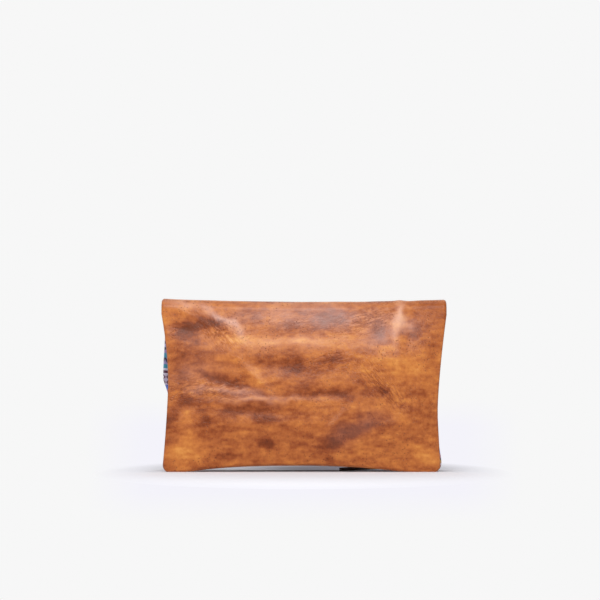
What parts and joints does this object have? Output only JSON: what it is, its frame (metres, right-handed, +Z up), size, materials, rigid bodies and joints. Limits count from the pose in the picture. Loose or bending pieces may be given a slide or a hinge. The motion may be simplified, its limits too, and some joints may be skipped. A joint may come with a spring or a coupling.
{
  "type": "leather clutch",
  "caption": "Fold-over leather clutch standing folded, tan pull-up leather back, woven textile flap, metal zip along the mouth with a dark leather pull.",
  "frame": {"origin": "Middle of the underside of the whole standing clutch, on the surface it rests on.", "axes": "+X to the right along the fold, as seen from the leather back; +Y from the leather back to the textile flap; +Z up."},
  "size_m": [0.284, 0.062, 0.172],
  "materials": {
    "tan_leather": "mottled pull-up leather, soft sheen",
    "brown_leather": "dark, matt",
    "woven_textile": "hand-woven bands, matt",
    "lining_cotton": "plain cotton",
    "zip_tape": "woven twill tape",
    "antique_brass": "antiqued, satin"
  },
  "bodies": {
    "pouch": {"back_panel": "tan_leather", "front_panel": "tan_leather", "flap_textile": "woven_textile", "flap_textile_inner": "woven_textile", "lining_bag": "lining_cotton", "zip_tape_outer": "zip_tape", "zip_tape_inner": "zip_tape", "zip_teeth_outer": "antique_brass", "zip_teeth_inner": "antique_brass", "top_stop_outer": "antique_brass", "top_stop_inner": "antique_brass", "bottom_stop": "antique_brass"},
    "slider": {"slider_body": "antique_brass"},
    "link": {"pull_link": "antique_brass"},
    "strap": {"pull_strap": "brown_leather", "strap_rivet": "antique_brass"}
  },
  "joints": [
    {"name": "zip_slide", "type": "slide", "parent": "pouch", "child": "slider", "axis": [1, 0, 0], "range_m": [-0.199, 0], "deforming": ["zip_teeth_outer", "zip_teeth_inner"]},
    {"name": "link_swing", "type": "hinge", "parent": "slider", "child": "link", "pos_m": [0.1065, 0.02317, 0.00707], "axis": [0.3746, -0.9272, 0], "range_deg": [0, 100]},
    {"name": "strap_swing", "type": "hinge", "parent": "link", "child": "strap", "pos_m": [0.09581, 0.01885, 0.00377], "axis": [0.3746, -0.9272, 0], "range_deg": [0, 45]}
  ]
}
